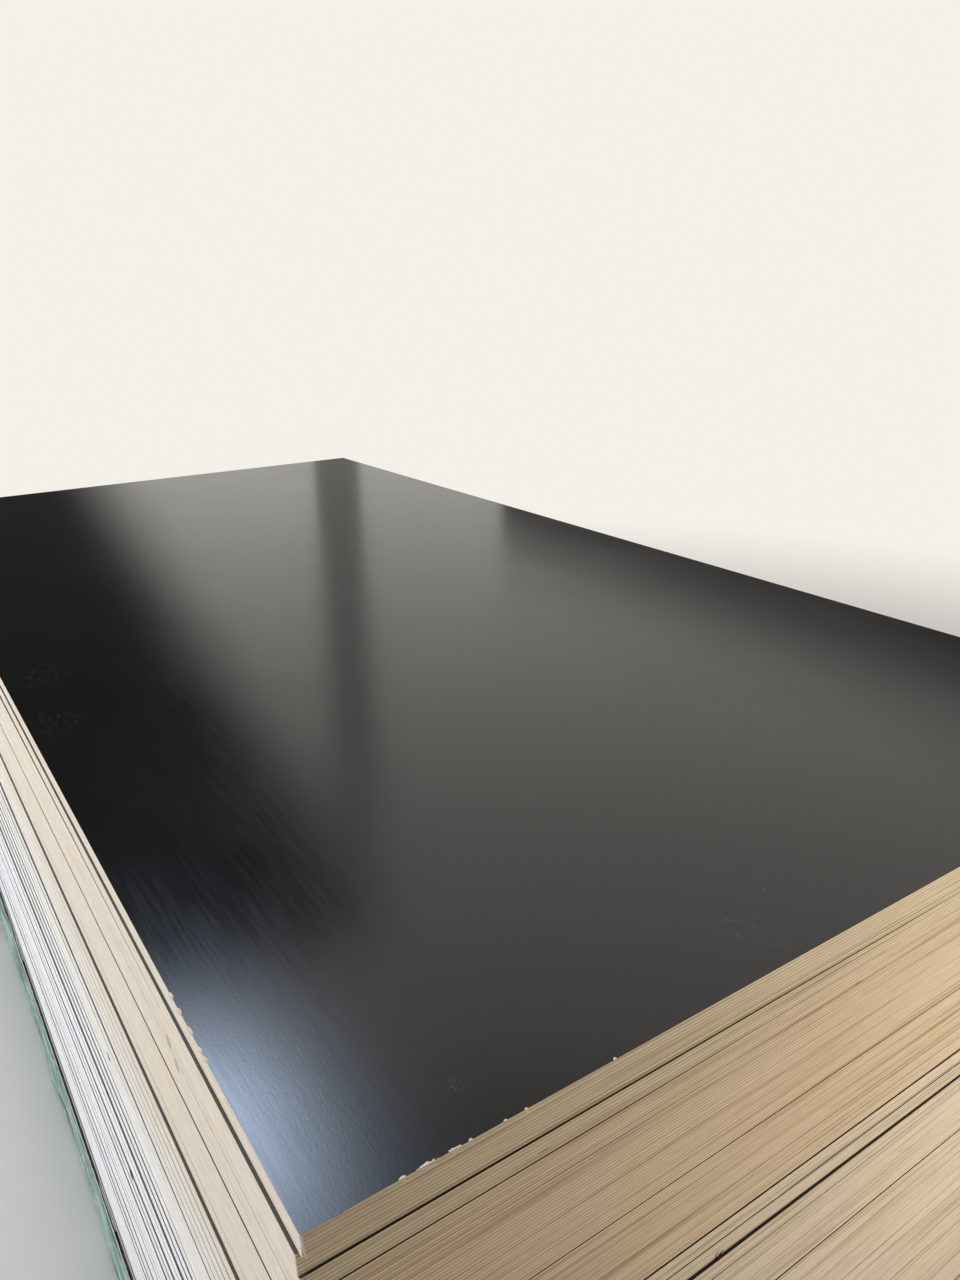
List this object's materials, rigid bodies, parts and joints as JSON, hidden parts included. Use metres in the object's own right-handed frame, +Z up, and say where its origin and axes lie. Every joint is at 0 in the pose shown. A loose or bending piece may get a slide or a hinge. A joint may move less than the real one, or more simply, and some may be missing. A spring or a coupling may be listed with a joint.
{
  "type": "stack of film-faced plywood sheets",
  "caption": "Opened pack of black film-faced plywood sheets, laid flat and slightly out of line on a timber pallet, with a strip of green wrap left along its foot.",
  "frame": {"origin": "on the floor, under the middle of the pallet's footprint", "axes": "+Z up, +Y along the sheets' 2440 mm length towards the far end, +X across their 1220 mm width; the sheets slide to the left, -X, going down"},
  "size_m": [1.2491, 2.4551, 0.894],
  "materials": {
    "film_face": "plywood with a smooth black phenolic film pressed on, semi-gloss, pale veneer edges",
    "veneer_edge": "sawn plywood edge, unsealed, fine stripes of crossed veneers between two black films",
    "sawn_timber": "rough-sawn softwood, dusty",
    "green_film": "thin green polyethylene film, creased, slightly translucent"
  },
  "bodies": {
    "root": {"sheet_01": "film_face", "sheet_02": "veneer_edge", "sheet_03": "veneer_edge", "sheet_04": "veneer_edge", "sheet_05": "veneer_edge", "sheet_06": "veneer_edge", "sheet_07": "veneer_edge", "sheet_08": "veneer_edge", "sheet_09": "veneer_edge", "sheet_10": "veneer_edge", "sheet_11": "veneer_edge", "sheet_12": "veneer_edge", "sheet_13": "veneer_edge", "sheet_14": "veneer_edge", "sheet_15": "veneer_edge", "sheet_16": "veneer_edge", "sheet_17": "veneer_edge", "sheet_18": "veneer_edge", "sheet_19": "veneer_edge", "sheet_20": "veneer_edge", "sheet_21": "veneer_edge", "sheet_22": "veneer_edge", "sheet_23": "veneer_edge", "sheet_24": "veneer_edge", "sheet_25": "veneer_edge", "sheet_26": "veneer_edge", "sheet_27": "veneer_edge", "sheet_28": "veneer_edge", "sheet_29": "veneer_edge", "sheet_30": "veneer_edge", "sheet_31": "veneer_edge", "sheet_32": "veneer_edge", "sheet_33": "veneer_edge", "sheet_34": "veneer_edge", "sheet_35": "veneer_edge", "sheet_36": "veneer_edge", "sheet_37": "veneer_edge", "sheet_38": "veneer_edge", "sheet_39": "veneer_edge", "sheet_40": "veneer_edge", "sheet_41": "veneer_edge", "sheet_42": "veneer_edge", "sheet_43": "veneer_edge", "deck_board_1": "sawn_timber", "deck_board_2": "sawn_timber", "deck_board_3": "sawn_timber", "deck_board_4": "sawn_timber", "deck_board_5": "sawn_timber", "bearer_1": "sawn_timber", "bearer_2": "sawn_timber", "bearer_3": "sawn_timber", "bearer_4": "sawn_timber", "wrap": "green_film"}
  },
  "joints": []
}
